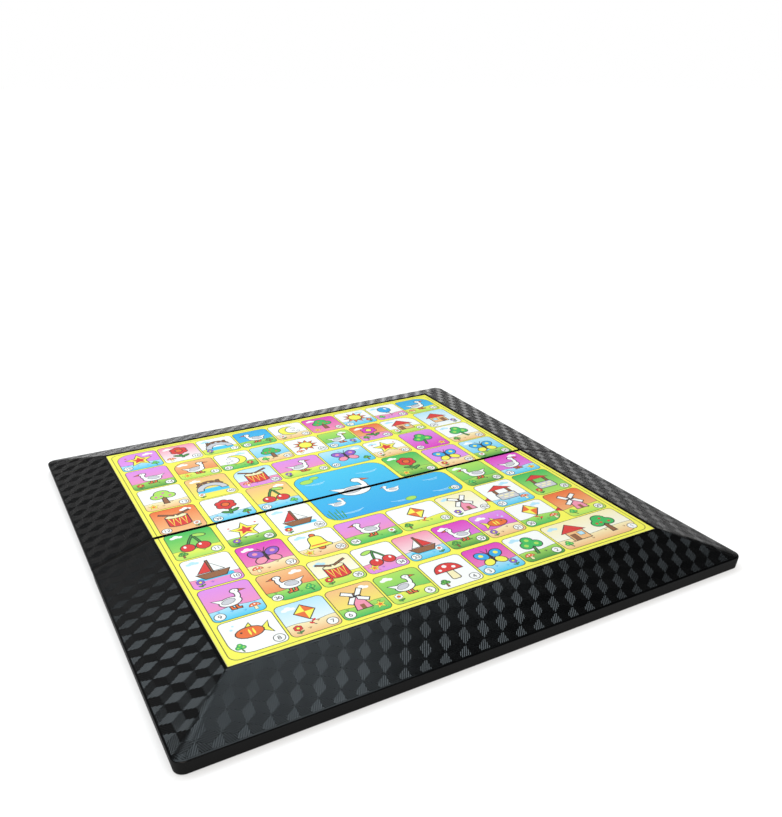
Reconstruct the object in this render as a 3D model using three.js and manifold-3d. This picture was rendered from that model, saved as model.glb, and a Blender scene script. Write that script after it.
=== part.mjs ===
// Folding case for a board game: two moulded half trays, hinged along the middle seam, each with
// half of the printed sheet in a recess on its top. Open, it lies flat on its rim. Folded, the
// hollow undersides face each other and the rims lap to close the case.
// Millimetres, +Z up. The origin is on the table under the middle of the board. X runs along the
// seam, the near half lies at -Y and the far half at +Y.
import * as THREE from "three";
import { mergeVertices } from "three/addons/utils/BufferGeometryUtils.js";
import Module from "manifold-3d";

const wasm = await Module();
wasm.setup();

// Printed sheet
const SHEET_SIDE = 314;
const SHEET_THICKNESS = 0.8;
const SHEET_CLEARANCE = 0.3;

// Shell, seen from outside
const LIP_WIDTH = 1.5; // flat margin between the recess and the slope
const RIM_WIDTH = 41.2; // slope, measured level
const RIM_RISE = 12.7;
const EDGE_HEIGHT = 8.8; // top of the outer wall, as if its edge were sharp
const EDGE_RADIUS = 0.9;
const WALL_LEAN = 8; // degrees, the outer wall draws in towards its foot
const FOOT_CHAMFER = 0.4;
const CORNER_RADIUS = 7;
const SEAM_CORNER_RADIUS = 1.2;
const RECESS_DEPTH = 1.2;
const RECESS_CHAMFER = 0.25;
const SEAM_GAP = 0.4; // at the foot
const SEAM_DRAFT = 0.25; // how far a seam face leans back at its top
const SEAM_LIP = 0.75; // bare plastic between a recess and the seam

// Shell, seen from below
const DECK_THICKNESS = 2;
const SLOPE_THICKNESS = 2;
const SEAM_WALL = 2.4;
const RIB_THICKNESS = 1.6;
const RIB_DEPTH = 3;
const RIB_PITCH = 62;

// Lapped rim: the near half keeps the outer lip and the far half the inner one
const LAP_LIP = 1.3;
const LAP_CLEARANCE = 0.3;
const PARTING_CLEARANCE = 0.3;

// Hinge
const PIN_RADIUS = 1;
const PIN_CLEARANCE = 0.3;
const PIN_END_RECESS = 0.6;
const PIN_CHAMFER = 0.3;
const KNUCKLE_WALL = 1.2;
const KNUCKLE_LENGTH = 16;
const KNUCKLE_CLEARANCE = 0.4;
const HINGE_FROM_EDGE = 82; // middle of each hinge from the side of the board
const FLOOR_CLEARANCE = 0.2; // knuckles stay this far off the table

// Facets
const CORNER_STEPS = 12;
const SEAM_CORNER_STEPS = 3;
const EDGE_STEPS = 5;
const ROUND_SIDES = 24;
const SHARP_RADIUS = 0.4; // least corner radius of an inset outline
const CUT_MARGIN = 1; // how far a cutter reaches past what it cuts

// Sizes that follow
const RECESS_HALF = SHEET_SIDE / 2 + SHEET_CLEARANCE;
const HALF_SIDE = RECESS_HALF + LIP_WIDTH + RIM_WIDTH;
const LIP_HEIGHT = EDGE_HEIGHT + RIM_RISE;
const SLOPE = RIM_RISE / RIM_WIDTH;
const LEAN = THREE.MathUtils.degToRad(WALL_LEAN);
const EDGE_TURN = Math.PI / 2 - Math.atan(SLOPE); // from the edge's outermost line up to the slope
const EDGE_RUN = EDGE_RADIUS * (1 - Math.cos(EDGE_TURN));
const EDGE_CENTRE = EDGE_HEIGHT + EDGE_RUN * SLOPE - EDGE_RADIUS * Math.sin(EDGE_TURN);
const FOOT_INSET = EDGE_CENTRE * Math.tan(LEAN) + EDGE_RADIUS * (1 - 1 / Math.cos(LEAN));
const RECESS_FLOOR = LIP_HEIGHT - RECESS_DEPTH;
const DECK_UNDERSIDE = RECESS_FLOOR - DECK_THICKNESS;
const SEAM_FACE = -SEAM_GAP / 2;
const RECESS_SEAM_EDGE = SEAM_FACE - SEAM_DRAFT - SEAM_LIP;
const SHEET_SEAM_EDGE = RECESS_SEAM_EDGE - SHEET_CLEARANCE;
const HINGE_OFFSET = HALF_SIDE - HINGE_FROM_EDGE;
const KNUCKLE_BORE = PIN_RADIUS + PIN_CLEARANCE;
const KNUCKLE_RADIUS = KNUCKLE_BORE + KNUCKLE_WALL;
const AXIS_HEIGHT = KNUCKLE_RADIUS + FLOOR_CLEARANCE;
const KNUCKLE_STEP = KNUCKLE_LENGTH + KNUCKLE_CLEARANCE;
const LAP_HEIGHT = 2 * AXIS_HEIGHT + PARTING_CLEARANCE;
const OUTER_LAP_INSET = FOOT_INSET + LAP_LIP;
const INNER_LAP_INSET = OUTER_LAP_INSET + LAP_CLEARANCE;
const WALL_INSET = INNER_LAP_INSET + LAP_LIP;

const plastic = { color: 0x0f1113, roughness: 0.42, metalness: 0 };
const card = { color: 0xf2e75a, roughness: 0.4, metalness: 0 };
const steel = { color: 0xb9bcc0, roughness: 0.3, metalness: 1 };

// One arc of an outline, from the angle start over a quarter turn, in degrees
function quarterArc(centreX, centreY, radius, start, steps) {
  const points = [];
  for (let i = 0; i <= steps; i++) {
    const angle = THREE.MathUtils.degToRad(start + (90 * i) / steps);
    points.push([centreX + radius * Math.cos(angle), centreY + radius * Math.sin(angle)]);
  }
  return points;
}

// Outline of the near half, seen from above and anticlockwise: its outer corners are round, and it
// ends at the line y = seamY. The inset draws the three outer sides in.
function halfOutline(inset, seamY, seamRadius = SHARP_RADIUS) {
  const half = HALF_SIDE - inset;
  const radius = Math.max(CORNER_RADIUS - inset, SHARP_RADIUS);
  const centre = half - radius;
  const seamCentre = half - seamRadius;
  return [
    ...quarterArc(-centre, -centre, radius, 180, CORNER_STEPS),
    ...quarterArc(centre, -centre, radius, 270, CORNER_STEPS),
    ...quarterArc(seamCentre, seamY - seamRadius, seamRadius, 0, SEAM_CORNER_STEPS),
    ...quarterArc(-seamCentre, seamY - seamRadius, seamRadius, 90, SEAM_CORNER_STEPS),
  ];
}

// Closed solid through outlines of equal length, listed from the lowest up
function loft(levels) {
  const count = levels[0].outline.length;
  const positions = levels.flatMap(({ outline, z }) => outline.flatMap(([x, y]) => [x, y, z]));
  const index = [];
  for (let level = 0; level + 1 < levels.length; level++) {
    for (let i = 0; i < count; i++) {
      const a = level * count + i;
      const b = level * count + ((i + 1) % count);
      index.push(a, b, b + count, a, b + count, a + count);
    }
  }
  const top = (levels.length - 1) * count;
  for (let i = 1; i + 1 < count; i++) {
    index.push(0, i + 1, i);
    index.push(top, top + i, top + i + 1);
  }
  const geometry = new THREE.BufferGeometry();
  geometry.setAttribute("position", new THREE.Float32BufferAttribute(positions, 3));
  geometry.setIndex(index);
  return solid(geometry);
}

function solid(geometry) {
  const bare = new THREE.BufferGeometry();
  bare.setAttribute("position", geometry.getAttribute("position"));
  bare.setIndex(geometry.getIndex());
  const merged = mergeVertices(bare, 1e-4);
  const mesh = new wasm.Mesh({
    numProp: 3,
    vertProperties: new Float32Array(merged.getAttribute("position").array),
    triVerts: new Uint32Array(merged.getIndex().array),
  });
  return new wasm.Manifold(mesh);
}

function box(x0, x1, y0, y1, z0, z1) {
  const geometry = new THREE.BoxGeometry(x1 - x0, y1 - y0, z1 - z0);
  geometry.translate((x0 + x1) / 2, (y0 + y1) / 2, (z0 + z1) / 2);
  return solid(geometry);
}

// Round bar on the hinge axis, from x0 to x1
function axisBar(radius, x0, x1) {
  const geometry = new THREE.CylinderGeometry(radius, radius, x1 - x0, ROUND_SIDES);
  geometry.rotateZ(Math.PI / 2);
  geometry.translate((x0 + x1) / 2, 0, AXIS_HEIGHT);
  return solid(geometry);
}

function toGeometry(manifold) {
  const { vertProperties, triVerts } = manifold.getMesh();
  const geometry = new THREE.BufferGeometry();
  geometry.setAttribute("position", new THREE.BufferAttribute(vertProperties, 3));
  geometry.setIndex(new THREE.BufferAttribute(triVerts, 1));
  geometry.computeVertexNormals();
  return geometry;
}

function namedMesh(name, geometry, look) {
  const mesh = new THREE.Mesh(geometry, new THREE.MeshStandardMaterial(look));
  mesh.name = name;
  return mesh;
}

// Section of the outer wall and the rim, from the foot up, as pairs of inset and height. The edge
// between the two is round and touches the full width of the board.
function rimSection() {
  const arc = [];
  for (let i = 0; i <= EDGE_STEPS; i++) {
    const angle = ((EDGE_TURN + LEAN) * i) / EDGE_STEPS - LEAN;
    arc.push([EDGE_RADIUS * (1 - Math.cos(angle)), EDGE_CENTRE + EDGE_RADIUS * Math.sin(angle)]);
  }
  return [
    [FOOT_INSET + FOOT_CHAMFER, 0],
    [FOOT_INSET - FOOT_CHAMFER * Math.tan(LEAN), FOOT_CHAMFER],
    ...arc,
    [RIM_WIDTH, LIP_HEIGHT],
  ];
}

// Outside of a half: wall, sloping rim and flat top
function halfBody() {
  const levels = rimSection().map(([inset, z]) => {
    const seamY = SEAM_FACE - (SEAM_DRAFT * z) / LIP_HEIGHT;
    return { outline: halfOutline(inset, seamY, SEAM_CORNER_RADIUS), z };
  });
  return loft(levels);
}

// Recess for the sheet, with a small chamfer round its mouth
function sheetRecess() {
  const level = (grow, z) => ({
    outline: [
      [-RECESS_HALF - grow, -RECESS_HALF - grow],
      [RECESS_HALF + grow, -RECESS_HALF - grow],
      [RECESS_HALF + grow, RECESS_SEAM_EDGE + grow],
      [-RECESS_HALF - grow, RECESS_SEAM_EDGE + grow],
    ],
    z,
  });
  return loft([
    level(0, RECESS_FLOOR),
    level(0, LIP_HEIGHT - RECESS_CHAMFER),
    level(RECESS_CHAMFER, LIP_HEIGHT),
    level(RECESS_CHAMFER, LIP_HEIGHT + CUT_MARGIN),
  ]);
}

// Hollow of a half, open below, with the stiffening ribs left standing under the deck
function halfHollow() {
  const seamSide = SEAM_FACE - SEAM_WALL;
  const drop = SLOPE_THICKNESS * Math.hypot(1, SLOPE); // slope thickness, measured upright
  const wallTop = EDGE_HEIGHT + WALL_INSET * SLOPE - drop;
  const deckInset = (DECK_UNDERSIDE + drop - EDGE_HEIGHT) / SLOPE;
  const level = (inset, z) => ({ outline: halfOutline(inset, seamSide), z });
  let hollow = loft([
    level(WALL_INSET, -CUT_MARGIN),
    level(WALL_INSET, wallTop),
    level(deckInset, DECK_UNDERSIDE),
  ]);
  const ribFoot = DECK_UNDERSIDE - RIB_DEPTH;
  const ribTop = DECK_UNDERSIDE + CUT_MARGIN;
  const reach = HALF_SIDE - WALL_INSET;
  const thick = RIB_THICKNESS / 2;
  const across = Math.floor((HALF_SIDE - deckInset) / RIB_PITCH);
  for (let i = -across; i <= across; i++) {
    const x = i * RIB_PITCH;
    hollow = hollow.subtract(box(x - thick, x + thick, -reach, 0, ribFoot, ribTop));
  }
  for (let i = 1; i <= across; i++) {
    const y = -i * RIB_PITCH;
    hollow = hollow.subtract(box(-reach, reach, y - thick, y + thick, ribFoot, ribTop));
  }
  return hollow;
}

// Band along the outer walls, between two insets, as high as the lap. It runs out past the seam.
function lapBand(outerInset, innerInset) {
  const band = (inset, z0, z1) => {
    const outline = halfOutline(inset, CUT_MARGIN);
    return loft([{ outline, z: z0 }, { outline, z: z1 }]);
  };
  const outer = band(outerInset, -CUT_MARGIN, LAP_HEIGHT);
  return outer.subtract(band(innerInset, -2 * CUT_MARGIN, LAP_HEIGHT + CUT_MARGIN));
}

// Ends of one half's knuckles along the axis: the far half owns the middle one of each hinge
function knuckleSpans(ofFar) {
  const spans = [];
  for (const side of [-1, 1]) {
    for (const place of [-1, 0, 1]) {
      if ((place === 0) === ofFar) {
        const middle = side * HINGE_OFFSET + place * KNUCKLE_STEP;
        spans.push([middle - KNUCKLE_LENGTH / 2, middle + KNUCKLE_LENGTH / 2]);
      }
    }
  }
  return spans;
}

// A half tray as it lies at the near side. The inner lip and the middle knuckles mark the far half.
function halfShell(isFar) {
  let shell = halfBody().subtract(halfHollow()).subtract(sheetRecess());
  const lap = isFar
    ? lapBand(-CUT_MARGIN, INNER_LAP_INSET)
    : lapBand(OUTER_LAP_INSET, WALL_INSET + LAP_CLEARANCE);
  shell = shell.subtract(lap);
  const partingHalf = HALF_SIDE - (isFar ? WALL_INSET : OUTER_LAP_INSET);
  const partingHeight = AXIS_HEIGHT + PARTING_CLEARANCE / 2;
  const seamInside = SEAM_FACE - SEAM_WALL - CUT_MARGIN;
  shell = shell.subtract(
    box(-partingHalf, partingHalf, seamInside, CUT_MARGIN, -CUT_MARGIN, partingHeight),
  );
  for (const [x0, x1] of knuckleSpans(!isFar)) {
    const room = axisBar(
      KNUCKLE_RADIUS + KNUCKLE_CLEARANCE,
      x0 - KNUCKLE_CLEARANCE,
      x1 + KNUCKLE_CLEARANCE,
    );
    shell = shell.subtract(room);
  }
  for (const [x0, x1] of knuckleSpans(isFar)) {
    shell = shell.add(axisBar(KNUCKLE_RADIUS, x0, x1));
    shell = shell.subtract(axisBar(KNUCKLE_BORE, x0 - CUT_MARGIN, x1 + CUT_MARGIN));
  }
  return toGeometry(shell);
}

// Half of the printed sheet as it lies in the near recess
function halfSheet() {
  const depth = SHEET_SIDE / 2 + SHEET_SEAM_EDGE;
  const geometry = new THREE.BoxGeometry(SHEET_SIDE, depth, SHEET_THICKNESS);
  geometry.translate(0, SHEET_SEAM_EDGE - depth / 2, RECESS_FLOOR + SHEET_THICKNESS / 2);
  return geometry;
}

// Steel pin along X with chamfered ends, as long as its three knuckles
function hingePin() {
  const half = KNUCKLE_STEP + KNUCKLE_LENGTH / 2 - PIN_END_RECESS;
  const end = PIN_RADIUS - PIN_CHAMFER;
  const profile = [
    new THREE.Vector2(0, -half),
    new THREE.Vector2(end, -half),
    new THREE.Vector2(PIN_RADIUS, -half + PIN_CHAMFER),
    new THREE.Vector2(PIN_RADIUS, half - PIN_CHAMFER),
    new THREE.Vector2(end, half),
    new THREE.Vector2(0, half),
  ];
  const geometry = new THREE.LatheGeometry(profile, ROUND_SIDES);
  geometry.rotateZ(-Math.PI / 2);
  return geometry;
}

const board = new THREE.Group();

const nearHalf = new THREE.Group();
nearHalf.add(namedMesh("near_shell", halfShell(false), plastic));
nearHalf.add(namedMesh("near_game_sheet", halfSheet(), card));
for (const [name, side] of [["left_hinge_pin", -1], ["right_hinge_pin", 1]]) {
  const pin = namedMesh(name, hingePin(), steel);
  pin.position.set(side * HINGE_OFFSET, 0, AXIS_HEIGHT);
  nearHalf.add(pin);
}
board.add(nearHalf);

const farHalf = new THREE.Group();
farHalf.add(namedMesh("far_shell", halfShell(true), plastic));
farHalf.add(namedMesh("far_game_sheet", halfSheet(), card));
farHalf.rotation.z = Math.PI;
board.add(farHalf);

export default board;
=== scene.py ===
"""Looks of a folding case for a track game with 63 squares.

Metres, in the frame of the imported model: X along the seam, the near half at -Y, the far half at
+Y and +Z up. The printed sheets are drawn here in millimetres as flat shapes, laid one over the
other, and cut into one closed mesh for each half.
"""

import math
from collections import namedtuple

import bpy
from mathutils import Matrix, Vector
from mathutils.geometry import delaunay_2d_cdt


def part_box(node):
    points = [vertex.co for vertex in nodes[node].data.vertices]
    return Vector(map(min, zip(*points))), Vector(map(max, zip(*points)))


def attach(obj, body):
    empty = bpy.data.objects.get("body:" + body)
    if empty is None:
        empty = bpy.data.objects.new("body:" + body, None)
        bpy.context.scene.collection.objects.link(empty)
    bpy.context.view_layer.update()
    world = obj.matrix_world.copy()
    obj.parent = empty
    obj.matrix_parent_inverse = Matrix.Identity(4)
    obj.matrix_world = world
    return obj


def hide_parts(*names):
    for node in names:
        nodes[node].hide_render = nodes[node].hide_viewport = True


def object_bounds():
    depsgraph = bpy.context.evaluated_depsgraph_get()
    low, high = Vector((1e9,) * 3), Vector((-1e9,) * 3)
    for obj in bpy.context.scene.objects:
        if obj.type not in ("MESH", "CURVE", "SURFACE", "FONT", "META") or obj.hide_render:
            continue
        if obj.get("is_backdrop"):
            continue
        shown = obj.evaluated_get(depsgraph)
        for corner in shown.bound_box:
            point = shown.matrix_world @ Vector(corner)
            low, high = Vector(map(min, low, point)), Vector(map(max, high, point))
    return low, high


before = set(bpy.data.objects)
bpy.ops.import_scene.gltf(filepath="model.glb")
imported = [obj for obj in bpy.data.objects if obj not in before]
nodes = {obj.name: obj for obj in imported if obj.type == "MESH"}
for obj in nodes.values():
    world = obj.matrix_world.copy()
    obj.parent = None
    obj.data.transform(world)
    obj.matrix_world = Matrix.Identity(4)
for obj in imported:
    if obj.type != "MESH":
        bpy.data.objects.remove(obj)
cad_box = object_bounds()

MM = 0.001
TINY = 1e-6

# Camera, fitted to the picture: the focal length is in pixels of the picture
IMAGE_WIDTH = 782
IMAGE_HEIGHT = 817
FOCAL_PX = 840.5
CAMERA_AT = Vector((-0.2613, -0.5255, 0.3142))
CAMERA_YAW = 29.052  # degrees from +Y towards +X
CAMERA_PITCH = 21.064  # degrees down
CAMERA_ROLL = 0.085
CAMERA_NEAREST = 0.01
SENSOR = 36.0

# Lamps: panels that face down, each given by its ends in X, its ends in Y and its radiance, and a
# distant light that comes from KEY_FROM
PANELS = ((-0.60, 0.22, -0.07, 0.24, 6.3), (0.22, 0.52, 0.065, 0.15, 3.8))
PANEL_HEIGHT = 0.72
PANEL_TONE = (0.86, 1.0, 1.08)
KEY_FROM = (-0.30, -0.62, 0.72)
KEY_SPREAD = 50  # degrees across
KEY_STRENGTH = 2.1
KEY_TONE = (1.06, 0.97, 0.88)

# Room: pairs of the elevation's sine and the light there, on the left and on the right, and a floor
# that glows, with a painted shadow that dims its glow where something covers it
ROOM_LEFT = ((0.0, 1.0), (0.09, 1.0), (0.14, 0.4), (0.25, 0.38), (0.5, 0.34), (0.66, 0.06), (1.0, 0.03))
ROOM_RIGHT = ((0.0, 1.0), (0.09, 1.0), (0.14, 0.4), (0.25, 0.14), (0.5, 0.06), (0.66, 0.03), (1.0, 0.02))
ROOM_TURN = (0.1, 0.5)  # where the left gives way to the right
FLOOR_REACH = 60.0
FLOOR_DROP = 0.0002  # below the board's feet
FLOOR_GLOW = 0.92
FLOOR_SHADE = 0.025  # reach of the painted shadow where the board covers the floor
FLOOR_TONES = (0.20, 0.22)

# Finishes: the case is glossy on its slopes and dull on its walls, which the upward part of the
# normal tells apart. The pattern of its rim has a higher specular level than the smooth shells.
SLOPE_TO_WALL = (0.25, 0.05)
CASE_ROUGHNESS = (0.12, 0.68)
CASE_TONES = ((0.0011, 0.0012, 0.0014, 1), (0.0020, 0.0022, 0.0024, 1))
PLAIN_GLOSS = 0.14
RIM_GLOSS = 0.27
STAIN_WEAR = 0.10  # roughness added by stains
SMEAR_WEAR = 0.06  # roughness added by smears
PIN_TONES = ((0.50, 0.51, 0.52, 1), (0.66, 0.66, 0.67, 1))
PIN_ROUGHNESS = (0.24, 0.42)
CARD_FADED = (0.72, 0.71, 0.68, 1)
CARD_FADE = (0.0, 0.055)
CARD_ROUGHNESS = (0.34, 0.46)

# Rim pattern, millimetres: rows of blocks, each drawn with three rhombi that are grooved three ways
BLOCK_PERIOD = 13.3  # along X
BLOCK_ROW = BLOCK_PERIOD * math.sqrt(3) / 2
BLOCK_REACH = BLOCK_PERIOD / math.sqrt(3)
BLOCK_WAYS = (90, 210, 330)  # degrees, from the block's middle along each rhombus
RHOMBUS_SPOKES = (-60, 0, 60)  # degrees from that way to the rhombus's other corners
TILE_SHARE = 0.988  # of a rhombus, so that a fine line parts it from the next
TILE_INSET = 0.7  # from the edges of the rim
TILE_PART = 0.03  # from the next flat face of the rim
TILE_ROOT = 0.08  # below the slope
GROOVE_PITCH = 1.15
GROOVE_LAND = 0.28  # share of the pitch that is left flat between two grooves
GROOVE_MIDDLE = (1 + GROOVE_LAND) / 2
GROOVE_SLOPE = 0.31
GROOVE_FLOOR = 0.02  # above the slope
RIM_TILT = (0.94, 0.985)  # range of the upward part of a slope's normal
SPOT_SIZE = 0.01  # corners closer than this are one
KEY_DIGITS = 2  # decimals that tell normals and corners of the shells apart

# Printed sheet, millimetres
SHEET_HALF = 157.0
BLEED = 1.0  # of the ground past the sheet's edge
BORDER = 5.0
BORDER_RADIUS = 6.0
EDGE_ROUND = 0.15
EDGE_BEND = (0.7, 0.3)  # middle of the rounding, out and down, as shares of it
CUT_GRAIN = 1e-4  # points of the drawing closer than this are one
PAPER = 0.85  # how much light the bare coated card returns
FACE_UPWARD = 0.9  # least upward part of the printed face's normal
# start and length on the flat map: across, up the printed face, and up all other faces
MAP_ACROSS = (0.005, 0.99)
MAP_FACE = (0.05, 0.94)
MAP_REST = (0.005, 0.03)

# Track: squares along the near and the left side of each turn, without those at its corners
TURNS = ((7, 6), (5, 4), (2, 2))
RING_DEPTH = 35.0
RING_GAP = 2.4
CELL_GAP = 1.2
CELL_RADIUS = 4.0
TURN_RADIUS = 12.0  # of a square's corner where the track turns
LINE = 0.5
MITRE_LIMIT = 0.6  # least cosine in a mitre, so that sharp corners don't shoot out
NUMBER_RADIUS = 3.3
NUMBER_GAP = 0.9  # between a number's ring and the lines of its square
MOTIF_SIZE = 0.37  # of a square's shorter side, from the motif's middle to its edge
MOTIF_LIFT = 0.1  # of the motif's size
WIDE_RATIO = 1.5  # a square longer than this many heights holds two motifs
WIDE_SHIFT = 0.2  # of the length, from the middle to each of the two
SMALL_SIZE = 4.6
SMALL_IN, SMALL_UP = 6.2, 6.6  # from the side and the foot of the square
CLOUD_SIZE = 4.5
CLOUD_IN, CLOUD_DOWN = 8.0, 6.0  # from the side and the top of the square
ARROW_AHEAD, ARROW_BACK = 2.2, 1.6  # from the middle of the gap that an arrow crosses
ARROW_UP, ARROW_HALF = 14.0, 2.5  # from the gap's near end, and half the arrow's width

# Squares differ by their number: steps through the lists of grounds and motifs, and cycles
GROUND_STEP = 5
MOTIF_STEP = 7
SIDE_CYCLE = 3  # one square in this many has its number on the left
BARE_CYCLE = 4  # one square in this many has no soil, unless it holds a goose
CLOUD_CYCLE, CLOUDY = 5, 3  # so many squares of each cycle have a cloud

# Soil in a square, millimetres and degrees, with tufts as shares of the length
SOIL_HEIGHT = 11.5
SOIL_STEPS = 14
SOIL_RISE = 1.2
SOIL_SWEEP = 330  # of its wave from end to end
SOIL_PHASE = 70  # from one square to the next
SOIL_LINE = 0.35
TUFTS = 4
TUFT_FIRST, TUFT_STEP = 0.16, 0.23
TUFT_DEPTH, TUFT_ROW = 2.6, 2.4  # below the soil's top, and from row to row
TUFT_ROWS = 3
TUFT_PEN = 0.4


def rgb(*levels):
    """Linear colour of a printed tone given in 0 to 255."""
    shares = [level / 255 for level in levels]
    return tuple(s / 12.92 if s <= 0.04045 else ((s + 0.055) / 1.055) ** 2.4 for s in shares)


INK = rgb(40, 35, 40)
WHITE = rgb(252, 252, 249)
YELLOW = rgb(250, 245, 88)
CREAM = rgb(252, 240, 190)
PEACH = rgb(246, 192, 132)
ORANGE = rgb(238, 112, 48)
RED = rgb(222, 56, 52)
PINK = rgb(246, 150, 176)
MAGENTA = rgb(224, 60, 190)
LILAC = rgb(224, 144, 232)
PURPLE = rgb(142, 92, 200)
BLUE = rgb(48, 170, 232)
CYAN = rgb(70, 200, 238)
SKY = rgb(186, 230, 248)
GREEN = rgb(60, 188, 92)
LIME = rgb(176, 226, 96)
LEAF = rgb(66, 150, 62)
BROWN = rgb(150, 96, 60)
GREY = rgb(206, 206, 212)


class Graph:
    """A node material built by short calls. Each call returns the socket that carries its result."""

    def __init__(self, name):
        self.material = bpy.data.materials.new(name)
        self.material.use_nodes = True
        self.tree = self.material.node_tree
        self.tree.nodes.clear()

    def node(self, kind, **settings):
        made = self.tree.nodes.new(kind)
        for name, value in settings.items():
            setattr(made, name, value)
        return made

    def feed(self, socket, value):
        if isinstance(value, bpy.types.NodeSocket):
            self.tree.links.new(value, socket)
        else:
            socket.default_value = value

    def fill(self, made, **sockets):
        """Gives a node its inputs by name, with an underscore for each space."""
        for name, value in sockets.items():
            self.feed(made.inputs[name.replace("_", " ")], value)
        return made

    def math(self, operation, *values):
        made = self.node("ShaderNodeMath", operation=operation)
        for socket, value in zip(made.inputs, values):
            self.feed(socket, value)
        return made.outputs[0]

    def stretched(self, place, factors):
        made = self.node("ShaderNodeVectorMath", operation="MULTIPLY")
        self.feed(made.inputs[0], place)
        self.feed(made.inputs[1], factors)
        return made.outputs["Vector"]

    def millimetres(self):
        """The place on the object in millimetres."""
        return self.stretched(self.node("ShaderNodeTexCoord").outputs["Object"], (1 / MM,) * 3)

    def upward(self):
        """The upward part of the object's normal."""
        made = self.node("ShaderNodeSeparateXYZ")
        self.feed(made.inputs[0], self.node("ShaderNodeTexCoord").outputs["Normal"])
        return made.outputs["Z"]

    def noise(self, place, scale, detail, roughness=0.5):
        made = self.node("ShaderNodeTexNoise")
        self.fill(made, Vector=place, Scale=scale, Detail=detail, Roughness=roughness)
        return made.outputs["Fac"]

    def between(self, value, span, results=(0.0, 1.0)):
        """A smooth step from one result to the other, over a span of the value."""
        made = self.node("ShaderNodeMapRange", interpolation_type="SMOOTHSTEP")
        for socket, one in zip(made.inputs, (value, *span, *results)):
            self.feed(socket, one)
        return made.outputs[0]

    def mix(self, share, first, second):
        made = self.fill(self.node("ShaderNodeMix", data_type="RGBA"), Factor=share, A=first, B=second)
        return made.outputs["Result"]

    def bump(self, height, strength, distance):
        made = self.fill(self.node("ShaderNodeBump"), Strength=strength, Distance=distance, Height=height)
        return made.outputs[0]

    def finish(self, **sockets):
        shader = self.fill(self.node("ShaderNodeBsdfPrincipled"), **sockets)
        self.fill(self.node("ShaderNodeOutputMaterial"), Surface=shader.outputs[0])
        return self.material


def grey(value):
    return (value, value, value, 1.0)


def added(name, data):
    """A new object in the scene."""
    made = bpy.data.objects.new(name, data)
    bpy.context.scene.collection.objects.link(made)
    return made


def case_plastic(name, gloss):
    """Black satin plastic: glossy slopes and dull walls, with a fine grain, stains and smears."""
    g = Graph(name)
    place = g.millimetres()
    stain = g.noise(place, scale=0.035, detail=4.0)
    smear = g.noise(g.stretched(place, (0.02, 0.3, 0.3)), scale=1.0, detail=3.0)
    grain = g.noise(place, scale=4.0, detail=3.0)
    wear = g.math("ADD", g.math("MULTIPLY", stain, STAIN_WEAR), g.math("MULTIPLY", smear, SMEAR_WEAR))
    matte = g.between(g.upward(), SLOPE_TO_WALL, CASE_ROUGHNESS)
    return g.finish(
        Base_Color=g.mix(g.between(stain, (0.3, 0.7)), *CASE_TONES),
        Roughness=g.math("ADD", wear, matte),
        Normal=g.bump(grain, strength=0.08, distance=0.00005),
        IOR=1.5,
        Specular_IOR_Level=gloss,
    )


def pin_steel():
    """Drawn wire: fine lines along the pin and a slight stain."""
    g = Graph("pin_steel")
    place = g.millimetres()
    lines = g.noise(g.stretched(place, (0.15, 9.0, 9.0)), scale=1.0, detail=4.0, roughness=0.7)
    stain = g.noise(place, scale=0.6, detail=3.0)
    return g.finish(
        Base_Color=g.mix(stain, *PIN_TONES),
        Metallic=1.0,
        Roughness=g.between(lines, (0.2, 0.8), PIN_ROUGHNESS),
        Normal=g.bump(lines, strength=0.25, distance=0.00004),
    )


def printed_card():
    """Coated card: the mesh's own ink colours, a little faded in spots, over a fine fibre."""
    g = Graph("printed_card")
    place = g.millimetres()
    inks = g.node("ShaderNodeVertexColor", layer_name="inks").outputs["Color"]
    mottle = g.noise(place, scale=0.9, detail=3.0)
    fibre = g.noise(place, scale=5.0, detail=4.0, roughness=0.6)
    return g.finish(
        Base_Color=g.mix(g.between(mottle, (0.25, 0.75), CARD_FADE), inks, CARD_FADED),
        Roughness=g.between(fibre, (0.2, 0.8), CARD_ROUGHNESS),
        Normal=g.bump(fibre, strength=0.06, distance=0.00005),
        IOR=1.45,
    )


# Flat shapes


def arc(cx, cy, rx, ry, start, end, steps=8):
    """Points on an ellipse from one angle to another, in degrees."""
    turns = [math.radians(start + (end - start) * i / steps) for i in range(steps + 1)]
    return [(cx + rx * math.cos(t), cy + ry * math.sin(t)) for t in turns]


def turned(points, turn, cx=0.0, cy=0.0):
    """Points turned about the origin, in degrees, and then moved to a middle."""
    c, s = math.cos(math.radians(turn)), math.sin(math.radians(turn))
    return [(cx + c * x - s * y, cy + s * x + c * y) for x, y in points]


def ellipse(cx, cy, rx, ry=None, turn=0.0, steps=16):
    ry = rx if ry is None else ry
    return turned(arc(0, 0, rx, ry, 0, 360 - 360 / steps, steps - 1), turn, cx, cy)


def rounded(corners, radii, steps=5):
    """Closed outline with its corners rounded, for corners listed anticlockwise."""
    points = []
    for i, (corner, radius) in enumerate(zip(corners, radii)):
        here = Vector(corner)
        back = (Vector(corners[i - 1]) - here).normalized()
        ahead = (Vector(corners[(i + 1) % len(corners)]) - here).normalized()
        half = back.angle(ahead) / 2
        run = radius / math.tan(half)
        middle = here + (back + ahead).normalized() * (radius / math.sin(half))
        first = here + back * run - middle
        sweep = first.angle_signed(here + ahead * run - middle)
        for k in range(steps + 1):
            points.append(tuple(middle + Matrix.Rotation(-sweep * k / steps, 2) @ first))
    return points


def rectangle(x0, y0, x1, y1, radius=0.0, steps=5):
    corners = [(x0, y0), (x1, y0), (x1, y1), (x0, y1)]
    return rounded(corners, [radius] * 4, steps) if radius else corners


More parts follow.
